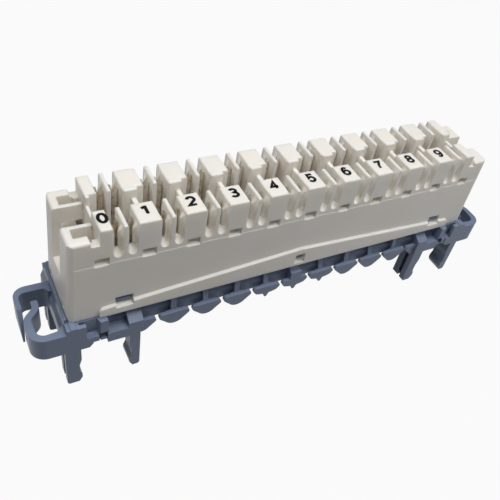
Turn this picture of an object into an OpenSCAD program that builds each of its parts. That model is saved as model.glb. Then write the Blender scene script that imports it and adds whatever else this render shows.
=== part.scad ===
// Ten pair wiring block with slotted insulation displacement contacts, for two round mounting bars.
// X runs along the block, -Y is the jumper side, Z is up, and the clip legs stand on Z = 0.
// All sizes are in millimetres.

/* [Pairs] */
// Distance from one wire pair to the next
pair_pitch = 9.35; // [8.9:0.05:9.6]
// Number of wire pairs on each side
pair_count = 10; // [6:1:10]
// Width of each wide block between pairs
block_width = 4.45; // [3.9:0.05:4.9]
// Thickness of the thin divider between the two wires of a pair
divider_thickness = 0.84; // [0.6:0.02:1.1]
// Length of an end block past the middle of its pitch
end_block_tail = 0.2; // [0.1:0.05:0.6]

/* [Housing] */
// Length of the light housing at its foot
housing_length = 107.6; // [106.4:0.1:108.4]
// Width of the light housing over its two long faces
housing_width = 16.4; // [16:0.1:17]
// Inward lean of each end face over its height
end_draft = 0.9; // [0.2:0.1:1.3]
// Depth of each block from the long face to the middle slot
block_depth = 5.75; // [5.4:0.05:6.2]
// Height of the block tops above the feet
top_height = 41.5; // [40:0.1:44]
// Drop from the block tops to the tops of the end posts
post_drop = 2.5; // [1.8:0.1:3]
// Height where the housing sits on the rim of the base
seat_height = 18.1; // [17.6:0.1:18.6]
// Thickness of the long walls in front of the contacts
long_wall = 2.1; // [1.8:0.05:2.25]
// Thickness of the walls around the hollow foot
foot_wall = 1.1; // [0.9:0.05:1.3]
// Height of the hollow foot inside the housing
foot_depth = 4.5; // [4.3:0.1:5.5]
// Thickness of the end walls beside the hollow foot
foot_end_wall = 1.6; // [1.3:0.1:2.2]
// Rounding of the block edges
edge_radius = 0.4; // [0.2:0.05:0.6]
// Rounding of the upright corners
corner_radius = 1.5; // [0.8:0.1:1.8]
// Rounding of the end post tops
post_round = 0.6; // [0.3:0.05:0.8]
// Height of the small step along the long faces
step_height = 32.7; // [31:0.1:33.2]
// Depth of the small step along the long faces
step_depth = 0.08; // [0.04:0.02:0.16]

/* [Wire slots] */
// Width of the clamping mouth of a wire slot
mouth_width = 0.75; // [0.7:0.05:1.3]
// Depth of the clamping mouth below the block tops
mouth_depth = 6.6; // [5.6:0.1:7]
// Depth where the wide upper part of a wire slot begins to narrow
mouth_shoulder = 0.9; // [0.5:0.1:1.4]
// Height over which a wire slot narrows to its mouth
mouth_taper = 1.7; // [0.8:0.1:2.2]
// Width of the round groove down the face of a wire slot
groove_width = 1.96; // [1.5:0.02:2]
// Depth of the round groove down the face of a wire slot
groove_depth = 1.6; // [1:0.05:1.7]
// Height of the sloping scoop at the foot of a groove
scoop_height = 1.2; // [0.8:0.1:2]

/* [Middle slot] */
// Height of the floor of the middle slot above the seat
slot_floor_rise = 8.4; // [7.5:0.1:10]
// Drop from the block tops to the cross ribs
rib_drop = 2.2; // [1:0.1:3]
// Thickness of the cross ribs
rib_thickness = 1.0; // [0.7:0.05:1.4]
// Reach of the upright beads into the middle slot
bead_reach = 0.9; // [0.4:0.05:1.2]
// Width of the upright beads
bead_width = 2.9; // [2:0.05:3.4]
// Distance of the upright beads from the sides of their blocks
bead_inset = 0.1; // [0.05:0.01:0.2]

/* [End posts] */
// Length of the notch between the end block and the end post
notch_length = 1.7; // [1.2:0.1:2.2]
// Depth of the notch below the post tops
notch_depth = 1.2; // [0.6:0.1:2]
// Thickness of the end wall of a post
post_end_wall = 1.6; // [1.2:0.1:2]
// Thickness of the post wall at the long face
post_face_wall = 2.1; // [1.6:0.1:2.4]
// Thickness of the post wall at the middle slot
post_slot_wall = 0.85; // [0.6:0.05:1.1]
// Widening of the middle slot between the end posts
post_slot_relief = 0.3; // [0.1:0.05:0.5]
// Depth of the pocket in a post
pocket_depth = 6; // [4.5:0.1:8]
// Height of the window low in the post's slot wall
post_window = 2.1; // [1:0.1:3]
// Width of the small square drain beside the notch
notch_drain = 0.6; // [0.4:0.05:0.9]
// Width of the small keyholes low in the end faces
end_hole_width = 1.6; // [1:0.1:2.2]
// Distance of the keyholes from the middle plane
end_hole_distance = 4.7; // [4:0.1:5.2]

/* [Windows] */
// Width of a snap window under a wide block
window_width = 2.9; // [2.2:0.1:3.4]
// Depth of the top of the snap windows below the block tops
window_drop = 7.15; // [6.8:0.05:8]
// Height of a snap window
window_height = 1.95; // [1.4:0.05:2.3]
// Height of the dark opening above a window's sloping sill
window_opening = 0.85; // [0.5:0.05:1.1]
// Distance of the latch windows from mid length
latch_distance = 42.35; // [41:0.05:43.5]
// Width of a latch window
latch_width = 3.7; // [3:0.1:4.4]
// Height of the top of a latch window above the seat
latch_top = 4.3; // [4:0.1:4.4]
// Height of a latch window
latch_height = 2.6; // [2:0.1:3]
// Width of the middle latch window
mid_latch_width = 2.7; // [2:0.1:3.4]
// Height of the top of the middle latch window above the seat
mid_latch_top = 3.5; // [3.2:0.1:4]

/* [Skirt] */
// Thickness added by the skirt along the housing's foot
skirt_depth = 0.6; // [0.3:0.05:0.8]
// Length of the skirt
skirt_length = 95.2; // [92:0.2:98]
// Height of the skirt at its ends
skirt_end_height = 2.6; // [2:0.1:3.4]
// Height of the skirt at mid length
skirt_mid_height = 5.6; // [4:0.1:6.5]
// Rise of the skirt's ledge from its edge to the long face
skirt_ledge = 0.35; // [0.2:0.05:0.6]

/* [Base] */
// Width of the base over its corner blocks and legs
base_width = 20.2; // [19.6:0.1:21]
// Length of the base at the collar around the housing
collar_length = 109; // [108.6:0.1:109.8]
// Length of the base below the collar
base_length = 110.2; // [109.9:0.1:111]
// Height of the underside of the base
base_foot = 12.1; // [11.8:0.1:12.6]
// Drop of the end parts below the underside of the base
end_drop = 1.1; // [0.6:0.1:1.5]
// Drop of the corner block tops below the rim
block_drop = 0.2; // [0:0.05:0.4]
// Rise of the collar's end rims above the seat
rim_rise = 0.9; // [0.4:0.1:1.3]
// Length of the collar's end rims across the block
rim_length = 15.6; // [14:0.1:16]
// Thickness added to the long walls by their rail
rail_depth = 0.4; // [0.2:0.05:0.5]
// Height of the rail along a long wall
rail_height = 2.5; // [2:0.1:3]
// Width of the hull of the base between its long walls' outer faces
channel_width = 14; // [13.6:0.1:14]
// Thickness of the long base walls
wall_thickness = 1.5; // [1.1:0.1:2]
// Height of the plate that closes the housing above the seat
plate_rise = 1.2; // [0.8:0.1:1.6]
// Thickness of that plate
plate_thickness = 1.5; // [1:0.1:2]
// Thickness of the end floors over the mounting bars
floor_thickness = 1.6; // [1.2:0.1:2.4]
// Distance of the inner face of a corner block from mid length
corner_inner = 50.6; // [50:0.1:51.4]
// Thickness of the tongue that runs on from a corner block
tongue_thickness = 0.95; // [0.7:0.05:1.2]
// Length of that tongue
tongue_length = 1.3; // [0.8:0.1:1.6]
// Height of the pocket floor and of the shelf above the underside of the base
shelf_rise = 1.75; // [1.4:0.05:2.1]
// Distance of the stub beside a corner block from mid length
stub_distance = 47.15; // [46.8:0.05:47.4]
// Width of that stub
stub_width = 2.1; // [1.6:0.1:2.6]
// Height of the notch under the stub's face
stub_notch = 2.3; // [1.8:0.1:2.8]
// Distance of an end block from mid length
end_block_distance = 40.2; // [40:0.05:40.6]
// Length of an end block
end_block_length = 3.2; // [2.8:0.1:3.6]

/* [Hammers] */
// Distance between the wire guide hammers
hammer_pitch = 7.8; // [7.5:0.05:7.9]
// Number of wire guide hammers on each side
hammer_count = 9; // [5:2:9]
// Length of a hammer head
hammer_length = 7.1; // [6.4:0.05:7.3]
// Setback of the hammer heads behind the corner blocks
hammer_setback = 0.75; // [0.4:0.05:1]
// Thickness of a hammer tip
hammer_tip = 0.95; // [0.7:0.05:1.2]
// Thickness of a hammer stem
hammer_stem = 1.3; // [1:0.05:1.8]
// Height of the top edge of a hammer head
hammer_top = 13.75; // [13.4:0.05:14.4]
// Height of a hammer head at its tips
hammer_tip_height = 1.6; // [1.2:0.05:2]
// Height of a deep hammer head at its middle
hammer_height = 3.55; // [3:0.05:4]
// Height of a shallow hammer head above its nub
hammer_shallow = 2.4; // [2.1:0.05:2.8]
// Drop of the lower stems below the block tops
stem_drop = 1.5; // [1:0.1:2]
// Width of the raised block on the middle hammer
marker_width = 2.9; // [2:0.1:3.2]
// Height of the raised block above the middle hammer's head
marker_height = 2.1; // [1.4:0.1:2.4]

/* [Wire loops] */
// Length of the whole block over its loops
loop_length = 124; // [121:0.2:127]
// Top of the loops
loop_top = 16.8; // [16:0.1:17.2]
// Thickness of the front and back arms of a loop
loop_band = 1.75; // [1.4:0.05:1.9]
// Thickness of the outer arm of a loop
loop_outer_band = 1.05; // [0.9:0.05:1.3]
// Thickness of the curled end of the front arm
curl_band = 1.4; // [1.2:0.05:1.5]
// Distance of the back arm's outer face behind the middle
loop_back = 5.55; // [4.8:0.05:6.2]
// Rounding of the loop at its back corner
loop_back_radius = 2.7; // [2.2:0.1:3.2]
// Rounding of the loop at its front corner
loop_front_radius = 3.2; // [2.8:0.1:3.4]
// Thickness of the outer arm at its tip
loop_tip = 0.35; // [0.25:0.05:0.45]
// Slit between the outer arm's tip and the curled arm
loop_slit = 0.25; // [0.2:0.05:0.35]
// Distance of the outer arm's tip from the middle plane
loop_tip_distance = 4.4; // [4:0.1:4.8]
// Distance of the curled arm's end behind the middle plane
curl_end = 1.05; // [0.6:0.05:1.5]
// Distance of the curled arm's straight end from the outer end of the loop
curl_distance = 4.3; // [4:0.05:4.5]
// Rounding where the arms meet the end wall
loop_fillet = 1.2; // [0.8:0.1:1.4]

/* [Clip legs] */
// Distance between the middles of the two bar clips
clip_spacing = 93.9; // [93.4:0.1:94.4]
// Shift of both clips toward +X
clip_shift = 0.23; // [0:0.01:0.3]
// Clear width between the two legs of a clip
clip_gap = 10.4; // [10:0.05:10.8]
// Thickness of the stout leg
stout_leg = 3.2; // [2.8:0.05:3.4]
// Thickness of the slim leg
slim_leg = 2.3; // [2:0.05:2.5]
// Depth of the legs across the block
leg_depth = 4.6; // [3.8:0.1:5.2]
// Width of the groove in the stout leg
leg_groove = 1.1; // [0.8:0.05:1.4]
// Thickness of the stout leg in front of its groove
leg_front = 1.6; // [1.2:0.05:2]
// Depth of the hollow above a leg's grip bump
grip_hollow = 0.5; // [0.2:0.05:0.6]
// Height of the grip bumps
grip_height = 1.8; // [1.4:0.05:2.4]

/* [Contacts] */
// Thickness of the contact metal
contact_thickness = 0.45; // [0.3:0.05:0.55]
// Depth of the fork tips below the block tops
fork_drop = 1.4; // [1:0.1:2]
// Gap between the two limbs of a fork
fork_gap = 0.2; // [0.12:0.02:0.3]
// Length of the two limbs
limb_length = 8; // [5:0.5:10]
// Width of a limb's blunt tip
limb_tip = 0.35; // [0.25:0.05:0.5]
// Height of the spring arm
spring_height = 13.7; // [12:0.1:15]
// Width of the spring arm
spring_width = 1.5; // [1.2:0.05:1.7]
// Bow of the spring arm away from its opposite
spring_bow = 1.0; // [0.6:0.05:1.3]

/* [Clearances] */
// Clearance between the housing and the parts inside it
part_clearance = 0.1; // [0.05:0.01:0.15]

/* [Hidden] */
// steps of the arcs, and the reach of shapes that only cut or bound
arc_steps = 5;
corner_steps = 8;
loop_steps = 10;
groove_steps = 8;
small_steps = 3;
scoop_sides = 32;
reach = 80;
// run of a cut past the face that it opens, and of a joined shape into the solid that carries it
over = 0.1;
lap = 0.2;
deep_lap = 0.3;
bury = 1;
hair = 0.05;
scoop_inset = 0.03;
divider_flat = 0.02;
tongue_gap = 0.25;
small_round = 0.3;

half_width = housing_width / 2;
half_length = housing_length / 2;
post_end = half_length - end_draft;
post_top = top_height - post_drop;
slot_half = half_width - block_depth;
slot_floor = seat_height + slot_floor_rise;
rib_top = top_height - rib_drop;
mouth_floor = top_height - mouth_depth;
shoulder_top = top_height - mouth_shoulder;
shoulder_foot = shoulder_top - mouth_taper;
foot_ceiling = seat_height + foot_depth;
cavity_half = half_width - foot_wall;
cavity_end = half_length - end_draft - foot_end_wall;
inner_face = half_width - long_wall;
side_slot = (pair_pitch - block_width - divider_thickness) / 2;
slot_offset = (divider_thickness + side_slot) / 2;
row_half = pair_pitch * pair_count / 2;
end_block_face = row_half + end_block_tail;
notch_end = end_block_face + notch_length;
notch_floor = post_top - notch_depth;
window_top = top_height - window_drop;
core_wall = 1.2;
core_depth = block_depth - long_wall - core_wall;
window_wall = long_wall + 0.1;
latch_sill = 0.9;
step_face = half_width + step_depth;
skirt_face = step_face + skirt_depth;
skirt_half = skirt_length / 2;
skirt_round = skirt_depth / 3;
ledge_turn = 105;
end_turn = 100;
skirt_slope = atan((skirt_mid_height - skirt_end_height) / skirt_half);

base_half = base_width / 2;
wall_face = channel_width / 2;
collar_half = collar_length / 2;
flare_half = base_length / 2;
end_foot = base_foot - end_drop;
block_top = seat_height - block_drop;
plate_top = seat_height + plate_rise;
plate_foot = plate_top - plate_thickness;
end_block_outer = end_block_distance + end_block_length / 2;
end_block_inner = end_block_distance - end_block_length / 2;
stub_outer = stub_distance + stub_width / 2;
stub_inner = stub_distance - stub_width / 2;
hammer_face = base_half - hammer_setback;
hammer_foot = hammer_top - hammer_tip_height;
hammer_tip_face = hammer_face - hammer_tip;
nub_width = 0.75;
stem_fillet = 0.55;
stem_lip = 0.95;
collar_top = seat_height + rim_rise;
shelf_top = base_foot + shelf_rise;
rail_face = wall_face + rail_depth;
block_skin = 1.1;
loop_half = loop_length / 2;
loop_foot = end_foot;
loop_root = collar_half - deep_lap;
slope_start = 0.4;
slope_ratio = 1.5;
curl_bend = 1.2;
curl_straight = 1.4;
curl_turn = 45;
curl_outer = loop_half - loop_tip - loop_slit;
flare_rise = 3.4;
flare_top = 4.8;
wall_depth = 2;
grip_top = 7.6;
hollow_top = 5.6;
hollow_foot = 1.8;
grip_flat = 0.5;
lead_in = 0.7;
leg_chamfer = 0.4;
latch_cheek = 0.3;
latch_back = cavity_half - part_clearance - inner_face;
latch_lip = 0.5;
latch_inset = 0.1;
deep_bow = 2.4;
deep_turn = 52;
shallow_bow = 8;
shallow_turn = 20;
shallow_rest = 6;
tip_turn = 50;
marker_setback = 0.4;
marker_tip = 0.15;
end_block_slope = 2;
end_block_shoulder = 0.8;
end_block_foot = 0.5;
stub_chamfer = 0.5;
stub_inset = 0.2;
shelf_fall = 0.1;
shelf_back = 0.6;
floor_chamfer = 0.8;
housing_gap = 0.3;

fork_width = (side_slot - 2 * part_clearance) * sqrt(2) - contact_thickness;
fork_distance = inner_face - part_clearance - (fork_width + contact_thickness) / (2 * sqrt(2));
fork_top = top_height - fork_drop;
spring_top = plate_top + spring_height;
spring_bend = 5;
spring_knee = 1.6;
spring_flat = 0.4;
fork_mouth = 1.5;
fork_shoulder = 0.5;
fork_taper = 0.15;
twist_angle = 45;

wide_blocks = [for (i = [0 : pair_count]) i * pair_pitch - row_half];
pair_centres = [for (i = [0 : pair_count - 1]) (i + 0.5) * pair_pitch - row_half];
wire_slots = [for (c = pair_centres) for (s = [-1, 1]) c + s * slot_offset];
hammer_middle = (hammer_count - 1) / 2;

// Points of an arc about (x, y) from angle a to angle b.
function arc(x, y, r, a, b, steps = arc_steps) = [for (k = [0 : steps])
    let (t = a + (b - a) * k / steps) [x + r * cos(t), y + r * sin(t)]];

// Points of an outline reversed and mirrored across its first axis.
function mirrored(points) = [for (k = [len(points) - 1 : -1 : 0]) [-points[k][0], points[k][1]]];

// Extrudes an outline drawn in X and Z along Y from y0 to y1.
module along_y(y0, y1)
    translate([0, y1, 0]) rotate([90, 0, 0]) linear_extrude(height = y1 - y0) children();

// Extrudes an outline drawn in Y and Z along X from x0 to x1.
module along_x(x0, x1)
    translate([x0, 0, 0]) rotate([90, 0, 90]) linear_extrude(height = x1 - x0) children();

// Extrudes an outline drawn in X and Y upward from z0 to z1.
module along_z(z0, z1)
    translate([0, 0, z0]) linear_extrude(height = z1 - z0) children();

// Adds the same shape on the other side of the middle plane.
module both_sides() {
    children();
    mirror([0, 1, 0]) children();
}

// Adds the same shape at the other end of the block.
module both_ends() {
    children();
    mirror([1, 0, 0]) children();
}

// Outline of one tooth of a row, rounded at the top; narrow > 0 thickens it below the shoulder.
function tooth(left, right, foot, r, narrow) = concat(
    [[left - narrow, foot], [left - narrow, shoulder_foot], [left, shoulder_top]],
    arc(left + r, top_height - r, r, 180, 90),
    arc(right - r, top_height - r, r, 90, 0),
    [[right, shoulder_top], [right + narrow, shoulder_foot], [right + narrow, foot]]);

// Outline of a row of blocks and dividers with an end post at each end, seen from the long side.
module row_outline(foot, narrow) {
    r = edge_radius;
    rd = divider_thickness / 2 - divider_flat;
    half = block_width / 2;
    inner = -row_half + half;
    first = [
        each [[-half_length, seat_height]],
        each arc(-post_end + post_round, post_top - post_round, post_round, 180, 90),
        each arc(-notch_end - r, post_top - r, r, 90, 0),
        each [[-notch_end, notch_floor], [-end_block_face, notch_floor]],
        each arc(-end_block_face + r, top_height - r, r, 180, 90),
        each arc(inner - r, top_height - r, r, 90, 0),
        each [[inner, shoulder_top], [inner + narrow, shoulder_foot], [inner + narrow, foot]]];
    teeth = [for (i = [0 : pair_count - 1]) each concat(
        tooth(pair_centres[i] - divider_thickness / 2, pair_centres[i] + divider_thickness / 2,
            foot, rd, narrow),
        i == pair_count - 1 ? [] :
            tooth(wide_blocks[i + 1] - half, wide_blocks[i + 1] + half, foot, r, narrow))];
    polygon(concat(first, teeth, mirrored(first)));
}

// Section across the housing with the middle slot, solid down to the seat.
module housing_section() {
    r = edge_radius;
    right = concat(
        [[step_face, seat_height], [step_face, step_height], [half_width, step_height + step_depth]],
        arc(half_width - r, top_height - r, r, 0, 90),
        arc(slot_half + r, top_height - r, r, 90, 180),
        [[slot_half, slot_floor]]);
    polygon(concat(right, mirrored(right)));
}

// Waste outside the rounded upright corner at the -X end of the -Y side, leaning with the end face.
module corner_cut() {
    r = corner_radius;
    lean = atan(end_draft / (post_top - seat_height));
    translate([-half_length, -step_face, seat_height]) rotate([0, lean, 0]) along_z(-r, reach)
        polygon(concat([[-bury, -bury], [r, -bury]], arc(r, r, r, 270, 180, corner_steps), [[-bury, r]]));
}

// Round groove down the -Y face of a wire slot and the spoon shaped scoop below it.
module slot_mouth(x) {
    r = groove_width / 2;
    lean = atan((groove_depth + step_depth) / scoop_height);
    plan = concat([[r, -step_face - over]], arc(0, groove_depth - r - half_width, r, 0, 180, groove_steps),
        [[-r, -step_face - over]]);
    translate([x, 0, 0]) along_z(mouth_floor, reach) polygon(plan);
    translate([x, -step_face, mouth_floor - scoop_height]) rotate([-lean, 0, 0]) translate([0, -r, -r])
        cylinder(r = r - scoop_inset, h = scoop_height / cos(lean) + r, $fn = scoop_sides);
}

// Window in the -Y wall with a sloping sill below a straight opening.
module window(x, width, top, height, opening, depth) {
    face = skirt_face + over;
    back = half_width - depth;
    along_x(x - width / 2, x + width / 2)
        polygon([
            [-face, top], [-back, top], [-back, top - opening],
            [-step_face, top - height], [-face, top - height]]);
}

// Window in the -Y foot wall for a latch tab.
module latch_window(x, width, top)
    window(x, width, seat_height + top, latch_height, latch_height - latch_sill, foot_wall + over);

// Hollow core of one wide block, open to the foot and to the block's window.
module block_core(x)
    translate([x - window_width / 2, -inner_face, foot_ceiling - over])
        cube([window_width, core_depth, window_top - foot_ceiling + over]);

// Skirt on the -Y face: a low wall whose sloping ledge rises to mid length, with rounded ends.
module skirt() {
    root = half_width - deep_lap;
    r = skirt_round;
    low = -skirt_mid_height - 2 * bury;
    end = skirt_end_height;
    section = concat([[-root, low], [-skirt_face, low]],
        arc(-skirt_face + r, -skirt_ledge - r, r, 180, ledge_turn, small_steps),
        [[-step_face + 0.02, 0], [-root, 0]]);
    translate([0, 0, seat_height]) intersection() {
        along_y(-skirt_face - over, -root + over)
            polygon(concat([[-skirt_half, 0]], arc(-skirt_half + end / 2, end / 2, end / 2, 180, end_turn),
                [[0, skirt_mid_height + bury]],
                arc(skirt_half - end / 2, end / 2, end / 2, 180 - end_turn, 0), [[skirt_half, 0]]));
        both_ends() translate([0, 0, skirt_mid_height]) rotate([0, skirt_slope, 0])
            along_x(-skirt_depth + over, reach) polygon(section);
    }
}

// Upright beads of one row, flush with the tops of the wide blocks, on the -Y side of the middle slot.
module slot_beads() {
    r = edge_radius;
    left = bead_inset - block_width / 2;
    right = left + bead_width;
    root = -slot_half - 2 * r;
    tip = -slot_half + bead_reach;
    foot = slot_floor - over;
    crown = top_height - r;
    side = concat(
        [[right, foot]], arc(right - r, crown, r, 0, 90), arc(left + r, crown, r, 90, 180), [[left, foot]]);
    plan = concat(
        [[right, root]], arc(right - r, tip - r, r, 0, 90), arc(left + r, tip - r, r, 90, 180), [[left, root]]);
    intersection() {
        along_y(root, tip) for (x = wide_blocks) translate([x, 0]) polygon(side);
        along_z(foot, reach) for (x = wide_blocks) translate([x, 0]) polygon(plan);
        along_x(bead_inset - end_block_face, reach)
            polygon(concat([[root, foot], [root, top_height]], arc(tip - r, crown, r, 90, 0), [[tip, foot]]));
    }
}

// Cross rib with a rounded top at one wide block.
module slot_rib(x) {
    half = rib_thickness / 2;
    r = half / 2;
    side = concat([[half, slot_floor - over]], arc(half - r, rib_top - r, r, 0, 90));
    translate([x, 0, 0]) along_y(-slot_half - over, slot_half + over)
        polygon(concat(side, mirrored(side)));
}

// Pocket, slot side window and drain of the end post at the -X end of the -Y side.
module post_pocket() {
    y0 = -half_width + post_face_wall;
    y1 = -slot_half - post_slot_relief - post_slot_wall;
    x0 = -post_end + post_end_wall;
    floor = post_top - pocket_depth;
    translate([x0, y0, floor]) cube([-end_block_face - x0, y1 - y0, reach]);
    translate([x0, y1 - over, floor])
        cube([-end_block_face - end_block_tail - x0, post_slot_wall + over + lap, post_window]);
    translate([-notch_end - over, y0 - notch_drain, floor])
        cube([notch_drain + over, notch_drain + over, reach]);
}

// Rounds the outer rim of the end post at the -X end of the -Y side.
module post_rim() {
    r = post_round;
    along_x(-reach, -notch_end)
        polygon(concat([[-half_width - bury, post_top - r]], arc(-half_width + r, post_top - r, r, 180, 90),
            [[-half_width + r, post_top + bury], [-half_width - bury, post_top + bury]]));
}

// Thin wall of the end post that runs on past the notch, at the -X end of the -Y side.
module post_tongue() {
    y1 = -slot_half - post_slot_relief;
    translate([-notch_end - 2 * edge_radius, y1 - post_slot_wall, notch_floor - over])
        cube([notch_length + 2 * edge_radius - tongue_gap, post_slot_wall, notch_depth + over]);
}

// Light moulded housing: two rows of blocks and dividers, end posts, middle slot and hollow foot.
module housing() color([0.93, 0.91, 0.84])
    difference() {
        union() {
            intersection() {
                union() {
                    along_y(-inner_face, inner_face) row_outline(seat_height + bury, 0);
                    both_sides() along_y(-step_face, -inner_face + hair)
                        row_outline(mouth_floor, (side_slot - mouth_width) / 2);
                }
                along_x(-reach, reach) housing_section();
            }
            both_sides() skirt();
            both_sides() both_ends() post_tongue();
            mirror([0, 1, 0]) slot_beads();
            for (x = wide_blocks) slot_rib(x);
        }
        translate([-cavity_end, -cavity_half, seat_height - bury])
            cube([2 * cavity_end, 2 * cavity_half, foot_depth + bury]);
        both_ends() translate([-reach, -slot_half - post_slot_relief, slot_floor])
            cube([reach - end_block_face, 2 * (slot_half + post_slot_relief), reach]);
        both_sides() {
            for (x = wire_slots) slot_mouth(x);
            for (x = wide_blocks) {
                block_core(x);
                window(x, window_width, window_top, window_height, window_opening, window_wall);
            }
            both_ends() {
                corner_cut();
                latch_window(latch_distance, latch_width, latch_top);
                post_rim();
                translate([-reach, -end_hole_distance - end_hole_width / 2, collar_top + part_clearance])
                    cube([reach - cavity_end + over, end_hole_width, end_hole_width]);
            }
            latch_window(0, mid_latch_width, mid_latch_top);
            post_pocket();
        }
    }

// Front view of one hammer head: deep heads are lens shaped, shallow ones carry a small nub.
module hammer_front(deep) {
    h = hammer_length / 2;
    r = hammer_tip_height / 2 - hair;
    low = hammer_top - (deep ? hammer_height : hammer_shallow);
    bow = deep ? deep_bow : shallow_bow;
    turn = deep ? deep_turn : shallow_turn;
    rest = deep ? -90 : shallow_rest - 90;
    nub_foot = hammer_top - hammer_height;
    nub = deep ? [] : [[nub_width, low], [nub_width / 3, nub_foot], [0, nub_foot]];
    side = concat(arc(h - r, hammer_top - r, r, 90, -tip_turn), arc(0, low + bow, bow, turn - 90, rest), nub);
    polygon(concat(side, mirrored(side)));
}

// Plan of one hammer: thin tips that thicken in two steps into the stem.
module hammer_plan() {
    h = hammer_length / 2;
    s = hammer_stem / 2;
    tip = -hammer_tip_face;
    flare = concat([[s, -wall_face + lap]],
        arc(s + stem_fillet, tip + stem_fillet + lap, stem_fillet, 180, 270));
    side = concat(flare, [[s + 2 * stem_fillet, tip], [h, tip], [h, -hammer_face]]);
    polygon(concat(side, mirrored(side)));
}

// One wire guide hammer on the -Y side, with a tall or a low stem.
module hammer(x, deep, tall) {
    stem_top = tall ? block_top : block_top - stem_drop;
    stem_reach = tall ? wall_face + stem_lip : wall_face + stem_lip / 2;
    translate([x, 0, 0]) {
        intersection() {
            along_y(-hammer_face, -wall_face + lap) hammer_front(deep);
            along_z(0, reach) hammer_plan();
        }
        along_x(-hammer_stem / 2, hammer_stem / 2)
            polygon([[-wall_face + lap, base_foot], [-wall_face + lap, stem_top], [-stem_reach, stem_top],
                [-hammer_tip_face, hammer_top + lap], [-hammer_tip_face - over, hammer_top - over],
                [-hammer_tip_face - over, base_foot + lap]]);
    }
}

// Raised block and wide stem on the middle hammer of the -Y side.
module hammer_marker() {
    half = marker_width / 2;
    along_x(-half, half)
        polygon([[-hammer_tip_face + marker_setback, hammer_top - lap],
            [-hammer_tip_face + marker_setback, hammer_top + marker_height],
            [-hammer_face + marker_tip, hammer_top + marker_height], [-hammer_face + hair, hammer_top - lap]]);
    along_x(-half, half - hammer_stem / 2)
        polygon([[-wall_face + lap, hammer_foot], [-wall_face + lap, block_top],
            [-wall_face - stem_lip, block_top],
            [-hammer_tip_face, hammer_top + marker_height - over], [-hammer_tip_face, hammer_foot]]);
}

// Corner block, pocket, stub, shelf and end block at the -X end of the -Y side.
module end_assembly() {
    f = base_half;
    w = wall_face - lap;
    outer = -collar_half + stub_chamfer;
    rim_back = half_width + housing_gap;
    stub_face = f - stub_inset;
    pocket_end = -corner_inner + tongue_length;
    skin = block_skin;
    e = small_round;
    // corner block with the tongue that runs on along its face
    along_z(end_foot, block_top)
        polygon(concat([[outer, -w], [outer, -f], [-corner_inner, -f], [-corner_inner, -f + tongue_thickness]],
            arc(-corner_inner - tongue_length + e, -f + tongue_thickness + e, e, 270, 180),
            [[-corner_inner - tongue_length, -w]]));
    // back wall of the pocket, floor of the pocket, and the low wall under it with a chamfered end
    along_z(base_foot, block_top)
        polygon([[-corner_inner - tongue_length - lap, -w], [-corner_inner - tongue_length - lap, -rim_back],
            [-stub_outer + lap, -rim_back], [-stub_outer + lap, -w]]);
    along_x(outer + bury, -stub_outer + lap)
        polygon([[-w, base_foot], [-w, shelf_top + shelf_back], [-stub_face, shelf_top - stub_inset],
            [-stub_face, base_foot]]);
    along_y(-f, -w)
        polygon([[outer, end_foot], [outer, shelf_top], [pocket_end, shelf_top], [pocket_end, base_foot],
            [pocket_end - floor_chamfer, end_foot]]);
    // stub with a chamfered flank toward the pocket and a notch under its face
    difference() {
        along_z(base_foot, block_top)
            polygon([[-stub_outer, -w], [-stub_outer, -rim_back], [-stub_outer + stub_chamfer, -stub_face],
                [-stub_inner, -stub_face], [-stub_inner, -w]]);
        stub_cut();
    }
    // shelf
    along_x(-stub_inner - lap, -end_block_outer + lap)
        polygon([[-w, base_foot], [-w, shelf_top], [-f, shelf_top - shelf_fall], [-f, end_foot],
            [-f + skin, end_foot], [-f + skin, base_foot]]);
    // end block with a sloping top
    along_x(-end_block_outer, -end_block_inner)
        polygon([[-w, base_foot], [-w, block_top - end_block_shoulder],
            [-f, block_top - end_block_shoulder - end_block_slope], [-f, end_foot + end_block_foot],
            [-f + skin, end_foot + end_block_foot], [-f + skin, base_foot]]);
    // half hammer beside the end block
    intersection() {
        translate([-hammer_pitch * (hammer_middle + 1), 0, 0]) along_y(-hammer_face, -w) hammer_front(true);
        translate([-end_block_inner - lap, -hammer_face, 0]) cube([reach, hammer_tip, reach]);
    }
}

// Notch under the face of the stub at the -X end of the -Y side.
module stub_cut()
    along_x(-stub_outer + stub_chamfer, -stub_inner - over)
        polygon([[-base_half - bury, base_foot + stub_notch], [-base_half + stub_inset, base_foot + stub_notch],
            [-base_half + bury, base_foot + stub_notch - stub_chamfer],
            [-base_half + bury, base_foot + stub_chamfer], [-base_half - bury, base_foot + stub_chamfer]]);

// End wall of the base at the -X end: a collar around the housing over a flared foot, and a higher rim.
module end_wall() {
    inner = -collar_half + wall_depth;
    along_y(-base_half, base_half)
        polygon([[inner, base_foot], [inner, seat_height], [-half_length + over, seat_height],
            [-half_length + over, block_top], [-collar_half, block_top], [-collar_half, end_foot + flare_top],
            [-flare_half, end_foot + flare_rise], [-flare_half, end_foot], [inner, end_foot]]);
    along_y(-rim_length / 2, rim_length / 2)
        polygon([[-half_length - part_clearance, block_top - lap], [-half_length - part_clearance, collar_top],
            [-collar_half + lap, collar_top], [-collar_half, collar_top - lap],
            [-collar_half, block_top - lap]]);
}

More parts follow.
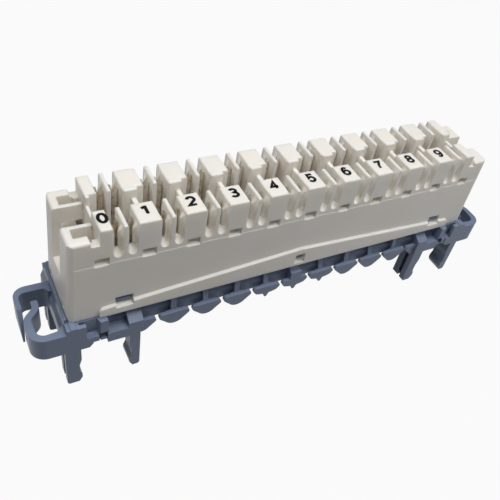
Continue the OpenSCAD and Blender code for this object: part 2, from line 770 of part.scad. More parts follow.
// Plan of the curled front arm of the loop at the -X end: straight, round the corner, and an S bend inward.
module curl_plan() {
    b = loop_band;
    c = curl_band;
    outer = -curl_outer;
    front = -base_half;
    r = loop_front_radius;
    r1 = curl_bend + c;
    r2 = curl_bend;
    e = small_round;
    end_x = -loop_half + curl_distance;
    end_y = curl_end;
    // centre of the last bend, on the outer side of the straight end, and of the bend before it
    x2 = end_x - c - r2;
    y2 = end_y - curl_straight;
    x1 = outer + r1;
    y1 = y2 - (r1 + r2) * cos(curl_turn) - (x2 - x1 + (r1 + r2) * sin(curl_turn)) / tan(curl_turn);
    // inner side of the corner, the fillet at the end wall where the arm is long enough for it, and the root
    r3 = r + over - (b + c) / 2;
    x3 = outer + r + over;
    f = max(0, min(loop_fillet, -flare_half - x3));
    root = max(-loop_root, x3);
    foot = max(-flare_half, x3);
    polygon(concat(
        [[root, front]], arc(outer + r, front + r, r, 270, 180, loop_steps),
        arc(x1, y1, r1, 180, 180 - curl_turn), arc(x2, y2, r2, -curl_turn, 0),
        arc(end_x - c + e, end_y - e, e, 180, 90, small_steps),
        arc(end_x - e, end_y - e, e, 90, 0, small_steps),
        arc(x2, y2, r2 + c, 0, -curl_turn), arc(x1, y1, r1 - c, 180 - curl_turn, 180),
        arc(x3, front + r + over, r3, 180, 270, corner_steps),
        arc(foot - f, front + b + f, f, 270, 360), [[root, front + b + f]]));
}

// Plan of the back arm and the outer arm of the loop at the -X end, which thins to its tip.
module hook_plan() {
    b = loop_band;
    x = -loop_half;
    inner = x + loop_outer_band;
    r = loop_back_radius;
    q = r - (b + loop_outer_band) / 2;
    f = max(0, min(loop_fillet, -flare_half - inner - q));
    root = max(-loop_root, x + r);
    foot = max(-flare_half, inner + q);
    polygon(concat(
        [[root, loop_back]], arc(x + r, loop_back - r, r, 90, 180, loop_steps - 1),
        [[x, -loop_tip_distance], [x + loop_tip, -loop_tip_distance], [inner, -slope_start]],
        arc(inner + q, loop_back - b - q, q, 180, 90, loop_steps - 4),
        arc(foot - f, loop_back - b - f, f, 90, 0), [[root, loop_back - b - f]]));
}

// Wire loop at the -X end: the hook's outer arm slopes down to its tip, beside the curled front arm.
module wire_loop() {
    lift = loop_top - loop_foot;
    difference() {
        along_z(loop_foot, loop_top) hook_plan();
        along_x(-loop_half - bury, -loop_half + loop_outer_band + bury)
            polygon([[-slope_start, loop_top], [-slope_start, loop_top + bury], [-reach, loop_top + bury],
                [-reach, loop_foot], [-slope_start - lift / slope_ratio, loop_foot]]);
    }
    along_z(loop_foot, loop_top) curl_plan();
}

// Face line of a leg from its root to its foot: straight, hollow above the grip, grip bump, lead-in.
function grip_line(face, side) = [
    [face, base_foot + bury], [face, grip_top], [face - side * grip_hollow, hollow_top],
    [face - side * grip_hollow, grip_height + hollow_foot], [face, grip_height + grip_flat],
    [face, grip_height - grip_flat], [face - side * lead_in, 0]];

// Two clip legs on the -Y side: a stout leg with an open groove and a slim leg.
module clip_legs(centre) {
    stout = centre - clip_gap / 2;
    slim = centre + clip_gap / 2;
    front = -base_half;
    difference() {
        along_y(front, front + leg_depth)
            polygon(concat([[stout - stout_leg, base_foot + bury]], grip_line(stout, 1),
                [[stout - stout_leg + leg_chamfer, 0], [stout - stout_leg, leg_chamfer]]));
        translate([stout - stout_leg - over, front + leg_front, -over])
            cube([stout_leg / 2 + over, leg_groove, end_foot - over - lap]);
    }
    along_y(front, front + leg_depth)
        polygon(concat([[slim + slim_leg, base_foot + bury]], grip_line(slim, -1),
            [[slim + slim_leg - leg_chamfer, 0], [slim + slim_leg, leg_chamfer]]));
}

// Snap tab on the -Y side whose nose stands in a latch window of the housing. Its back stays clear of the blades.
module latch_tab(x, width, top) {
    face = cavity_half - part_clearance;
    nose = half_width - latch_inset;
    tip = seat_height + top - part_clearance;
    along_x(x - width / 2 + latch_cheek, x + width / 2 - latch_cheek)
        polygon([[-face + latch_back, plate_top - lap], [-face + latch_back, tip], [-face, tip],
            [-face, tip - latch_lip], [-nose, tip - 2 * latch_lip], [-nose, tip - 3 * latch_lip],
            [-face, tip - 3 * latch_lip], [-face, plate_top - lap]]);
}

// Dark base: plate and long walls, end walls with loops, hammers, end assemblies, latches and clip legs.
module base() color([0.45, 0.48, 0.55])
    union() {
        plate_half = cavity_half - part_clearance;
        translate([-cavity_end + part_clearance, -plate_half, plate_foot])
            cube([2 * (cavity_end - part_clearance), 2 * plate_half, plate_thickness]);
        both_sides() {
            translate([-collar_half + bury, -wall_face, base_foot])
                cube([collar_length - 2 * bury, wall_thickness, seat_height - base_foot]);
            along_x(-collar_half + bury, collar_half - bury)
                polygon([[-wall_face + lap, base_foot], [-rail_face, base_foot],
                    [-rail_face, base_foot + rail_height],
                    [-wall_face + lap, base_foot + rail_height + rail_depth + 2 * lap]]);
            hammer_marker();
            for (k = [0 : hammer_count - 1])
                hammer((k - hammer_middle) * hammer_pitch, abs(k - hammer_middle) > 1, k % 2 == 0);
            both_ends() {
                end_assembly();
                latch_tab(latch_distance, latch_width, latch_top);
            }
            latch_tab(0, mid_latch_width, mid_latch_top);
            clip_legs(clip_shift - clip_spacing / 2);
            clip_legs(clip_shift + clip_spacing / 2);
        }
        both_ends() {
            end_wall();
            wire_loop();
            // floor that rests on the mounting bar
            translate([-collar_half + bury, -wall_face, base_foot])
                cube([collar_half - bury - end_block_inner, 2 * wall_face, floor_thickness]);
        }
    }

// One contact for a slot on the -Y side: a forked blade turned by twist, a foot strip and a bowed spring arm.
module contact_piece(twist) {
    t = contact_thickness;
    h = fork_width / 2;
    g = fork_gap / 2;
    w = spring_width / 2;
    tip = h - fork_taper;
    bend = spring_top - spring_bend;
    knee = spring_top - spring_knee;
    arm = -t / 2 - spring_bow;
    limb = [[h, plate_top], [h, fork_top - fork_shoulder], [tip, fork_top], [tip - limb_tip, fork_top],
        [g, fork_top - fork_mouth], [g, fork_top - limb_length]];
    translate([0, -fork_distance, 0]) rotate([0, 0, twist])
        along_y(-t / 2, t / 2) polygon(concat(limb, mirrored(limb)));
    translate([-w, -fork_distance, plate_top]) cube([spring_width, fork_distance - t, t]);
    along_x(-w, w)
        polygon([[-t, plate_top], [-2 * t, plate_top], [arm - t, bend], [-t, knee],
            [-t - spring_flat, spring_top], [-spring_flat, spring_top], [0, knee], [0, knee - spring_flat],
            [arm, bend]]);
}

module front_contact(i) color([0.85, 0.83, 0.78]) translate([wire_slots[i], 0, 0]) contact_piece(twist_angle);

module rear_contact(i) color([0.85, 0.83, 0.78])
    translate([wire_slots[i], 0, 0]) rotate([0, 0, 180]) contact_piece(-twist_angle);

housing();
base();
front_contact(0);  // front_contact_01
front_contact(1);  // front_contact_02
front_contact(2);  // front_contact_03
front_contact(3);  // front_contact_04
front_contact(4);  // front_contact_05
front_contact(5);  // front_contact_06
front_contact(6);  // front_contact_07
front_contact(7);  // front_contact_08
front_contact(8);  // front_contact_09
front_contact(9);  // front_contact_10
front_contact(10);  // front_contact_11
front_contact(11);  // front_contact_12
front_contact(12);  // front_contact_13
front_contact(13);  // front_contact_14
front_contact(14);  // front_contact_15
front_contact(15);  // front_contact_16
front_contact(16);  // front_contact_17
front_contact(17);  // front_contact_18
front_contact(18);  // front_contact_19
front_contact(19);  // front_contact_20
rear_contact(0);  // rear_contact_01
rear_contact(1);  // rear_contact_02
rear_contact(2);  // rear_contact_03
rear_contact(3);  // rear_contact_04
rear_contact(4);  // rear_contact_05
rear_contact(5);  // rear_contact_06
rear_contact(6);  // rear_contact_07
rear_contact(7);  // rear_contact_08
rear_contact(8);  // rear_contact_09
rear_contact(9);  // rear_contact_10
rear_contact(10);  // rear_contact_11
rear_contact(11);  // rear_contact_12
rear_contact(12);  // rear_contact_13
rear_contact(13);  // rear_contact_14
rear_contact(14);  // rear_contact_15
rear_contact(15);  // rear_contact_16
rear_contact(16);  // rear_contact_17
rear_contact(17);  // rear_contact_18
rear_contact(18);  // rear_contact_19
rear_contact(19);  // rear_contact_20
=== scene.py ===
import math

import bpy
import numpy as np
from mathutils import Matrix, Vector


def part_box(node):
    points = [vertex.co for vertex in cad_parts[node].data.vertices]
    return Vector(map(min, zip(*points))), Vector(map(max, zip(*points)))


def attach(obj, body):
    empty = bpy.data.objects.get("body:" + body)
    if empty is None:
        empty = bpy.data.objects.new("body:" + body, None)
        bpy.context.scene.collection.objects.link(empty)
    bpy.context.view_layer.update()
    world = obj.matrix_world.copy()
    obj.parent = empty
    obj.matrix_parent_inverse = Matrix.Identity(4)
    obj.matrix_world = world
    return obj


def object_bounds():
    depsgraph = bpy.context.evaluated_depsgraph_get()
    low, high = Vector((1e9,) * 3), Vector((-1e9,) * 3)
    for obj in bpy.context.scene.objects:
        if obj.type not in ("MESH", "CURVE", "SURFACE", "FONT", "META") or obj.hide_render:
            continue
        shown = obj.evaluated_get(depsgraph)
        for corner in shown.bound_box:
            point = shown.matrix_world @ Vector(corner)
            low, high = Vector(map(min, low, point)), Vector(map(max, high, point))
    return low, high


bl_info = {
    "name": "Wiring Block Finish",
    "version": (1, 0, 0),
    "blender": (4, 5, 0),
    "location": "3D View > Sidebar > Wiring Block",
    "description": "Dresses a ten pair wiring block in its moulded plastics, contacts and printed numerals",
    "category": "Object",
}

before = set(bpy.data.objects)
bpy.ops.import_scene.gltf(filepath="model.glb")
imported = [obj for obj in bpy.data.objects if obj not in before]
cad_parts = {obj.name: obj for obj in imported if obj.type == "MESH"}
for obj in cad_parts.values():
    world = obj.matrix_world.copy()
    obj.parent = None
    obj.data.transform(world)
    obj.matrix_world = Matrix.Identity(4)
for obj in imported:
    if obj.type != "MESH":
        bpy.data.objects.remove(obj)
CAD_LOW, CAD_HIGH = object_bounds()

MM = 0.001
BODY = "root"
PAIR_COUNT = 10
HOUSING_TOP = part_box("housing")[1][2]
CONTACTS = sorted(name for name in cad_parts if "contact" in name)
FRONT_CONTACTS = [name for name in CONTACTS if name.startswith("front")]

# the 0 stands off the middle of its place, toward +X
ZERO_SHIFT = 1.15 * MM
# how far the ink reaches into the housing, and by what share of the film a second stroke lies lower
INK_SINK = 0.02 * MM
STROKE_DROP = 0.2

# ejector pin marks of a loop: arm, distance in from the block's end, and distance from the base's -Y side
PIN_MARKS = (("back", 3.7 * MM, 14.8 * MM), ("front", 4.8 * MM, 0.8 * MM))
# of the base, only the loops reach this close to the block's ends
LOOP_END = 1 * MM

# camera: its place, sensor and lens in millimetres, its direction and roll in degrees
CAMERA_PLACE = (-69.53, -87.51, 118.87)
CAMERA_AZIMUTH = 38.43
CAMERA_ELEVATION = 42.2
CAMERA_ROLL = 14.36
CAMERA_SENSOR = 36.0
CAMERA_LENS = 43.62
CAMERA_SHIFT = (-0.0598, -0.016)

# soft boxes: name, place, aim and side in millimetres, power in watts, colour
LAMPS = (
    ("key", (30, -75, 330), (0, 0, 20), 200, 0.68, (1.0, 0.995, 0.985)),
    ("side", (-230, 20, 330), (0, 0, 20), 140, 0.38, (1.0, 1.0, 1.0)),
    ("fill", (300, -160, 170), (50, 0, 20), 160, 0.2, (0.98, 0.99, 1.0)),
)

# the floor's half width in metres, and how far it lies under the clip legs
FLOOR_HALF = 1.5
FLOOR_DROP = 0.02 * MM
FLOOR_LINES = 3

WHITE = (1.0, 1.0, 1.0, 1.0)
PAPER_GREY = (0.2, 0.2, 0.2, 1.0)
PAPER_LIFT = 0.95
WORLD_COLOUR = (0.95, 0.97, 1.0, 1.0)
WORLD_STRENGTH = 0.1

# a noise texture's values lie mostly between these two
NOISE_LOW = 0.3
NOISE_HIGH = 0.7
# sockets of a Mix node that mixes colours: its two colour inputs and its colour output
MIX_FROM = 6
MIX_TO = 7
MIX_OUT = 2


def srgb(code):
    """Linear red, green and blue of an sRGB hex colour such as "#8090A0"."""
    parts = [int(code[i : i + 2], 16) / 255 for i in (1, 3, 5)]
    return tuple(p / 12.92 if p <= 0.04045 else ((p + 0.055) / 1.055) ** 2.4 for p in parts)


def rgba(colour):
    """A colour property as the four values that a colour socket takes."""
    return (*colour[:3], 1.0)


def middle_x(name):
    """X of the middle of a CAD node's box."""
    low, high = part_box(name)
    return (low[0] + high[0]) / 2


def top_beyond(name, x):
    """Highest z among the points of a CAD node's mesh that lie further toward +X than x."""
    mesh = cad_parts[name].data
    points = np.empty(3 * len(mesh.vertices))
    mesh.vertices.foreach_get("co", points)
    points = points.reshape(-1, 3)
    return points[points[:, 0] > x, 2].max()


# ---------------------------------------------------------------- settings


class WiringBlockFinish(bpy.types.PropertyGroup):
    """Sizes and colours of the finishes that a user would change."""

    housing_colour: bpy.props.FloatVectorProperty(
        name="Housing", description="Ivory of the moulded housing",
        subtype="COLOR", size=3, min=0, max=1, default=srgb("#F6F2EC"))
    # the housing's second colour: the tone of the cooling patches, and painted shade in the recesses
    housing_tone_and_shade: bpy.props.FloatVectorProperty(
        name="Housing recesses", description="Warmer ivory where the walls stand close together",
        subtype="COLOR", size=3, min=0, max=1, default=srgb("#F0E4C8"))
    base_colour: bpy.props.FloatVectorProperty(
        name="Base", description="Blue grey of the moulded base",
        subtype="COLOR", size=3, min=0, max=1, default=srgb("#7E8AA1"))
    # the base's second colour: the tone of the cooling patches, and painted shade in its corners
    base_tone_and_shade: bpy.props.FloatVectorProperty(
        name="Base recesses", description="Darker grey in the corners of the base",
        subtype="COLOR", size=3, min=0, max=1, default=srgb("#58627A"))
    contact_colour: bpy.props.FloatVectorProperty(
        name="Contacts", description="Silver plate of the contacts",
        subtype="COLOR", size=3, min=0, max=1, default=srgb("#F3F0E8"))
    contact_bronze: bpy.props.FloatVectorProperty(
        name="Worn contacts", description="Bronze that shows where the plate is thin",
        subtype="COLOR", size=3, min=0, max=1, default=srgb("#C09A55"))
    ink_colour: bpy.props.FloatVectorProperty(
        name="Numerals", description="Printing ink of the numerals",
        subtype="COLOR", size=3, min=0, max=1, default=srgb("#050507"))
    grain_size: bpy.props.FloatProperty(
        name="Mould grain", description="Size of the spark eroded grain of the moulds",
        unit="LENGTH", default=0.22 * MM, min=0.05 * MM, max=1 * MM, precision=5)
    edge_radius: bpy.props.FloatProperty(
        name="Edge radius", description="Radius of the moulded edges",
        unit="LENGTH", default=0.16 * MM, min=0.02 * MM, max=0.5 * MM, precision=5)


class WiringBlockPrint(bpy.types.PropertyGroup):
    """Sizes of the printed numerals and of the round marks on the loops."""

    height: bpy.props.FloatProperty(
        name="Height", description="Height of a numeral",
        unit="LENGTH", default=3.0 * MM, min=1 * MM, max=4 * MM, precision=5)
    width: bpy.props.FloatProperty(
        name="Width", description="Width of a numeral",
        unit="LENGTH", default=2.15 * MM, min=0.8 * MM, max=3 * MM, precision=5)
    stroke: bpy.props.FloatProperty(
        name="Stroke", description="Width of a numeral's stroke",
        unit="LENGTH", default=0.66 * MM, min=0.2 * MM, max=1 * MM, precision=5)
    film: bpy.props.FloatProperty(
        name="Film", description="Thickness of the ink film",
        unit="LENGTH", default=0.01 * MM, min=0.002 * MM, max=0.05 * MM, precision=6)
    row_distance: bpy.props.FloatProperty(
        name="Row", description="Distance of the numerals from the middle plane",
        unit="LENGTH", default=4.85 * MM, min=3 * MM, max=7 * MM, precision=5)
    pin_radius: bpy.props.FloatProperty(
        name="Pin mark", description="Radius of the ejector pin marks on the loops",
        unit="LENGTH", default=0.5 * MM, min=0.2 * MM, max=1 * MM, precision=5)


# ---------------------------------------------------------------- nodes and materials


def add_node(tree, kind, inputs=None, **settings):
    """Adds a node, applies its settings, and fills or links its inputs by name or number."""
    node = tree.nodes.new(kind)
    for key, value in settings.items():
        setattr(node, key, value)
    for key, value in (inputs or {}).items():
        socket = node.inputs[key]
        if isinstance(value, bpy.types.NodeSocket):
            tree.links.new(value, socket)
        else:
            socket.default_value = value
    return node


def new_material(name):
    """An empty node material and its tree."""
    material = bpy.data.materials.new(name)
    material.use_nodes = True
    material.node_tree.nodes.clear()
    return material, material.node_tree


def moulded_plastic(name, colour, deep, grain, edge, roughness, translucency, reach, painted_shade_share, gloss):
    """Injection moulded thermoplastic from a spark eroded mould.

    The eye gets a satin sheen broken by fine grain, broad patches where the melt cooled at another rate,
    faint flow lines along the part, edges rounded by the mould, and painted shade, a deeper tone in the
    recesses. A wall nearer than reach makes a recess, and the shade share is how much of the deep tone the
    closest corners take.
    """
    patch_size = 14 * MM
    flow_spacing = 1.2 * MM
    flow_stretch = 0.12
    flow_share = 0.25
    tone_depth = 0.16
    closed_sky = 0.15
    open_sky = 0.85
    grain_depth = 0.03 * MM
    smoother = 0.05
    rougher = 0.07
    light_depth = 1.5 * MM
    material, tree = new_material(name)
    place = add_node(tree, "ShaderNodeTexCoord").outputs["Object"]

    # cooling patches, and flow lines drawn out along the part
    patches = add_node(
        tree, "ShaderNodeTexNoise", {"Vector": place, "Scale": 1 / patch_size, "Detail": 3.0})
    stretch = add_node(
        tree, "ShaderNodeMapping", {"Vector": place, "Scale": (flow_stretch, 1.0, 1.0)})
    flow = add_node(
        tree, "ShaderNodeTexNoise",
        {"Vector": stretch.outputs[0], "Scale": 1 / flow_spacing, "Detail": 2.0})
    blend = add_node(
        tree, "ShaderNodeMath",
        {0: patches.outputs["Fac"], 1: 1 - flow_share, 2: 0.0}, operation="MULTIPLY_ADD")
    mixed = add_node(
        tree, "ShaderNodeMath",
        {0: flow.outputs["Fac"], 1: flow_share, 2: blend.outputs[0]}, operation="MULTIPLY_ADD")
    tone = add_node(
        tree, "ShaderNodeMapRange",
        {"Value": mixed.outputs[0], "From Min": NOISE_LOW, "From Max": NOISE_HIGH,
         "To Min": 0.0, "To Max": tone_depth})
    toned = add_node(
        tree, "ShaderNodeMix",
        {"Factor": tone.outputs[0], MIX_FROM: rgba(colour), MIX_TO: rgba(deep)}, data_type="RGBA")

    # painted shade in the recesses: where ambient occlusion finds walls close by, the colour turns toward
    # the deep tone, warm like light passed from wall to wall
    sky = add_node(tree, "ShaderNodeAmbientOcclusion", {"Distance": reach}, samples=8)
    close = add_node(
        tree, "ShaderNodeMapRange",
        {"Value": sky.outputs["AO"], "From Min": closed_sky, "From Max": open_sky,
         "To Min": painted_shade_share, "To Max": 0.0})
    shade = add_node(
        tree, "ShaderNodeMix",
        {"Factor": close.outputs[0], MIX_FROM: toned.outputs[MIX_OUT], MIX_TO: rgba(deep)},
        data_type="RGBA")

    # spark eroded grain, drawn coarser than the real 0.03 mm so that it shows, on edges rounded by the mould
    fine = add_node(
        tree, "ShaderNodeTexNoise",
        {"Vector": place, "Scale": 1 / grain, "Detail": 4.0, "Roughness": 0.6})
    round_edge = add_node(tree, "ShaderNodeBevel", {"Radius": edge}, samples=6)
    bump = add_node(
        tree, "ShaderNodeBump",
        {"Strength": 0.16, "Distance": grain_depth, "Height": fine.outputs["Fac"],
         "Normal": round_edge.outputs[0]})
    rough = add_node(
        tree, "ShaderNodeMapRange",
        {"Value": mixed.outputs[0], "From Min": NOISE_LOW, "From Max": NOISE_HIGH,
         "To Min": roughness - smoother, "To Max": roughness + rougher})
    shader = add_node(
        tree, "ShaderNodeBsdfPrincipled",
        {"Base Color": shade.outputs[MIX_OUT], "Roughness": rough.outputs[0], "Normal": bump.outputs[0],
         "IOR": 1.5, "Specular IOR Level": gloss, "Subsurface Weight": translucency,
         "Subsurface Scale": light_depth, "Subsurface Radius": (1.0, 0.9, 0.75)})
    add_node(tree, "ShaderNodeOutputMaterial", {"Surface": shader.outputs[0]})
    return material


def plated_bronze(name, plate, bronze):
    """Silver plated spring bronze, stamped from rolled strip.

    The eye gets a soft metal gloss with rolling lines along the blade, and patches of warmer bronze where
    the plate is thin.
    """
    line_spacing = 0.12 * MM
    line_stretch = 0.06
    line_depth = 0.01 * MM
    patch_size = 1.4 * MM
    wear_starts = 0.5
    wear_ends = 0.66
    most_wear = 0.6
    material, tree = new_material(name)
    place = add_node(tree, "ShaderNodeTexCoord").outputs["Object"]
    drawn = add_node(
        tree, "ShaderNodeMapping", {"Vector": place, "Scale": (1.0, 1.0, line_stretch)})
    lines = add_node(
        tree, "ShaderNodeTexNoise",
        {"Vector": drawn.outputs[0], "Scale": 1 / line_spacing, "Detail": 3.0})
    tarnish = add_node(
        tree, "ShaderNodeTexNoise", {"Vector": place, "Scale": 1 / patch_size, "Detail": 3.0})
    worn = add_node(
        tree, "ShaderNodeMapRange",
        {"Value": tarnish.outputs["Fac"], "From Min": wear_starts, "From Max": wear_ends,
         "To Min": 0.0, "To Max": most_wear})
    colour = add_node(
        tree, "ShaderNodeMix",
        {"Factor": worn.outputs[0], MIX_FROM: rgba(plate), MIX_TO: rgba(bronze)}, data_type="RGBA")
    rough = add_node(
        tree, "ShaderNodeMapRange",
        {"Value": lines.outputs["Fac"], "From Min": NOISE_LOW, "From Max": NOISE_HIGH,
         "To Min": 0.26, "To Max": 0.44})
    bump = add_node(
        tree, "ShaderNodeBump",
        {"Strength": 0.2, "Distance": line_depth, "Height": lines.outputs["Fac"]})
    shader = add_node(
        tree, "ShaderNodeBsdfPrincipled",
        {"Base Color": colour.outputs[MIX_OUT], "Metallic": 1.0, "Roughness": rough.outputs[0],
         "Normal": bump.outputs[0]})
    add_node(tree, "ShaderNodeOutputMaterial", {"Surface": shader.outputs[0]})
    return material


def printing_ink(name, colour):
    """Two part pad printing ink, matt and slightly uneven, which dries with a fine orange peel."""
    peel_size = 0.15 * MM
    peel_depth = 0.01 * MM
    paler = 0.012
    material, tree = new_material(name)
    place = add_node(tree, "ShaderNodeTexCoord").outputs["Object"]
    peel = add_node(
        tree, "ShaderNodeTexNoise", {"Vector": place, "Scale": 1 / peel_size, "Detail": 2.0})
    grey = tuple(c + paler for c in colour[:3])
    tone = add_node(
        tree, "ShaderNodeMix",
        {"Factor": peel.outputs["Fac"], MIX_FROM: rgba(colour), MIX_TO: rgba(grey)}, data_type="RGBA")
    rough = add_node(
        tree, "ShaderNodeMapRange",
        {"Value": peel.outputs["Fac"], "From Min": NOISE_LOW, "From Max": NOISE_HIGH,
         "To Min": 0.45, "To Max": 0.6})
    bump = add_node(
        tree, "ShaderNodeBump",
        {"Strength": 0.1, "Distance": peel_depth, "Height": peel.outputs["Fac"]})
    shader = add_node(
        tree, "ShaderNodeBsdfPrincipled",
        {"Base Color": tone.outputs[MIX_OUT], "Roughness": rough.outputs[0], "Normal": bump.outputs[0],
         "Specular IOR Level": 0.25})
    add_node(tree, "ShaderNodeOutputMaterial", {"Surface": shader.outputs[0]})
    return material


def studio_paper(name):
    """Matt paper sweep that shows as nearly plain white behind the object, with its soft shadow.

    To rays that carry light on to the object it is grey, so that little light comes up from below.
    """
    material, tree = new_material(name)
    path = add_node(tree, "ShaderNodeLightPath")
    mirrored = add_node(
        tree, "ShaderNodeMath",
        {0: path.outputs["Is Camera Ray"], 1: path.outputs["Is Glossy Ray"]}, operation="MAXIMUM")
    seen = add_node(
        tree, "ShaderNodeMath",
        {0: mirrored.outputs[0], 1: path.outputs["Is Transmission Ray"]}, operation="MAXIMUM")
    lift = add_node(
        tree, "ShaderNodeMath", {0: seen.outputs[0], 1: PAPER_LIFT}, operation="MULTIPLY")
    paper = add_node(tree, "ShaderNodeBsdfDiffuse", {"Color": PAPER_GREY})
    white = add_node(tree, "ShaderNodeEmission", {"Color": WHITE, "Strength": 1.0})
    mix = add_node(
        tree, "ShaderNodeMixShader", {0: lift.outputs[0], 1: paper.outputs[0], 2: white.outputs[0]})
    add_node(tree, "ShaderNodeOutputMaterial", {"Surface": mix.outputs[0]})
    return material


def dress(node_name, material):
    """Gives a CAD node one material."""
    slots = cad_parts[node_name].data.materials
    slots.clear()
    slots.append(material)


# ---------------------------------------------------------------- surfaces


def mesh_piece(name, points, faces, material):
    """Makes a mesh object from point and face arrays, rides it on the block and gives it its material."""
    mesh = bpy.data.meshes.new(name)
    mesh.from_pydata(points.tolist(), [], faces.tolist())
    mesh.validate()
    mesh.materials.append(material)
    piece = bpy.data.objects.new(name, mesh)
    bpy.context.scene.collection.objects.link(piece)
    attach(piece, BODY)


def grid_faces(rows, columns, wrap_rows, wrap_columns):
    """Quads of a rows by columns grid of points; a wrapped direction joins its last line to its first."""
    r = np.arange(rows if wrap_rows else rows - 1)
    c = np.arange(columns if wrap_columns else columns - 1)
    r, c = np.meshgrid(r, c, indexing="ij")
    r1 = (r + 1) % rows
    c1 = (c + 1) % columns
    corners = [r * columns + c, r1 * columns + c, r1 * columns + c1, r * columns + c1]
    return np.stack(corners, axis=-1).reshape(-1, 4)


def arc(centre, radii, start, end, steps=14):
    """Points of an elliptical arc: centre + radii * (cos t, sin t), t from start to end in degrees."""
    t = np.radians(np.linspace(start, end, steps))
    return np.stack([centre[0] + radii[0] * np.cos(t), centre[1] + radii[1] * np.sin(t)], axis=1)


def ellipse(centre_y, radius_x, radius_y, steps=36):
    """Points of a closed ellipse round (0, centre_y), an arc whose end stops one step short of its start."""
    return arc((0, centre_y), (radius_x, radius_y), 0, 360 - 360 / steps, steps)


def numeral_strokes(digit, a, b):
    """Centre lines of a numeral's strokes, and whether each closes.

    They fill a box of half width a and half height b. A stroke is a row of points, or of elliptical arcs and
    points, all in shares of a and b.
    """
    stem = np.array([(0.25 * a, b), (0.25 * a, -b)])
    flag = np.array([(-0.85 * a, 0.45 * b), (0.15 * a, 0.8 * b)])
    two = np.vstack([arc((0, 0.38 * b), (a, 0.62 * b), 165, -25), [(-a, -b), (a, -b)]])
    three = np.vstack([
        arc((-0.05 * a, 0.53 * b), (0.85 * a, 0.47 * b), 155, -80),
        arc((-0.05 * a, -0.47 * b), (a, 0.53 * b), 80, -155)])
    four = np.array([(0.4 * a, -b), (0.4 * a, b), (-a, -0.4 * b), (1.1 * a, -0.4 * b)])
    five = np.vstack([
        [(0.9 * a, b), (-0.7 * a, b), (-0.85 * a, 0.0)],
        arc((-0.05 * a, -0.36 * b), (a, 0.64 * b), 125, -155)])
    seven = np.vstack([[(-a, b), (a, b)], arc((1.15 * a, -b), (1.3 * a, 1.65 * b), 118, 180, 8)])
    # the neck of the 6, which turned by half a turn is the tail of the 9
    neck = arc((0.0, -0.05 * b), (a, 1.05 * b), 48, 190, 22)
    return {
        0: [(ellipse(0, a, b), True)],
        1: [(stem, False), (flag, False)],
        2: [(two, False)],
        3: [(three, False)],
        4: [(four, False)],
        5: [(five, False)],
        6: [(ellipse(-0.38 * b, a, 0.62 * b), True), (neck, False)],
        7: [(seven, False)],
        8: [(ellipse(0.52 * b, 0.86 * a, 0.48 * b), True), (ellipse(-0.46 * b, a, 0.54 * b), True)],
        9: [(ellipse(0.38 * b, a, 0.62 * b), True), (-neck, False)],
    }[digit]


def unit(vectors):
    """Each row of an array divided by its length."""
    return vectors / np.linalg.norm(vectors, axis=1, keepdims=True)


def quarter_turn(vectors):
    """Each row (x, y) of an array turned by 90 degrees, to (-y, x)."""
    return np.stack([-vectors[:, 1], vectors[:, 0]], axis=1)


def ribbon(path, closed, half_width, low, high):
    """Sweeps a flat rectangle along a path in the plane.

    A point of the surface is path(i) + side * half_width * normal(i), at height low or high. The normal is
    the mitred sum of the two neighbouring normals, so that the width stays even round corners.
    """
    # least cosine of a mitre's half angle, which limits how far a sharp corner runs out
    least_cosine = 0.45
    before = path - np.roll(path, 1, axis=0)
    after = np.roll(path, -1, axis=0) - path
    if not closed:
        before[0] = after[0]
        after[-1] = before[-1]
    normal_before = quarter_turn(unit(before))
    mitre = unit(normal_before + quarter_turn(unit(after)))
    cosine = np.sum(mitre * normal_before, axis=1, keepdims=True)
    reach = half_width / np.maximum(cosine, least_cosine)
    left = path + mitre * reach
    right = path - mitre * reach
    section = [(right, high), (left, high), (left, low), (right, low)]
    points = np.stack([np.column_stack([xy, np.full(len(xy), z)]) for xy, z in section], axis=1)
    faces = grid_faces(len(path), len(section), closed, True)
    if not closed:
        last = len(section) * (len(path) - 1)
        caps = np.array([[0, 1, 2, 3], [last + 3, last + 2, last + 1, last]])
        faces = np.vstack([faces, caps])
    return points.reshape(-1, 3), faces


def numeral_mesh(digit, settings, place):
    """All strokes of one numeral, laid on the block's top at place."""
    half = settings.stroke / 2
    strokes = numeral_strokes(digit, settings.width / 2 - half, settings.height / 2 - half)
    points, faces, count = [], [], 0
    for layer, (path, closed) in enumerate(strokes):
        # a second stroke lies a hair lower, so that no two faces share a plane
        top = settings.film * (1 - STROKE_DROP * layer)
        stroke_points, stroke_faces = ribbon(path, closed, half, -INK_SINK, top)
        points.append(stroke_points)
        faces.append(stroke_faces + count)
        count += len(stroke_points)
    return np.vstack(points) + np.array(place), np.vstack(faces)


def pin_mark(centre, radius):
    """Ring left by an ejector pin: a profile z(r) turned about the vertical axis.

    The profile is a low rounded ridge, z = height * sin(pi * s) over a band round the radius, s from 0 to 1.
    It is sunk a little, so that the rims of the ring lie inside the arm.
    """
    width = 0.14 * MM
    height = 0.03 * MM
    sink = 0.004 * MM
    profile_points = 7
    degrees_apart = 10
    band = np.linspace(0, 1, profile_points)
    radii = radius + width * (band - 0.5)
    heights = height * np.sin(np.pi * band) - sink
    turn = np.radians(np.arange(0, 360, degrees_apart))
    x = centre[0] + np.outer(np.cos(turn), radii)
    y = centre[1] + np.outer(np.sin(turn), radii)
    z = centre[2] + np.tile(heights, (len(turn), 1))
    points = np.stack([x, y, z], axis=-1).reshape(-1, 3)
    return points, grid_faces(len(turn), len(band), True, False)


# ---------------------------------------------------------------- camera, floor and light


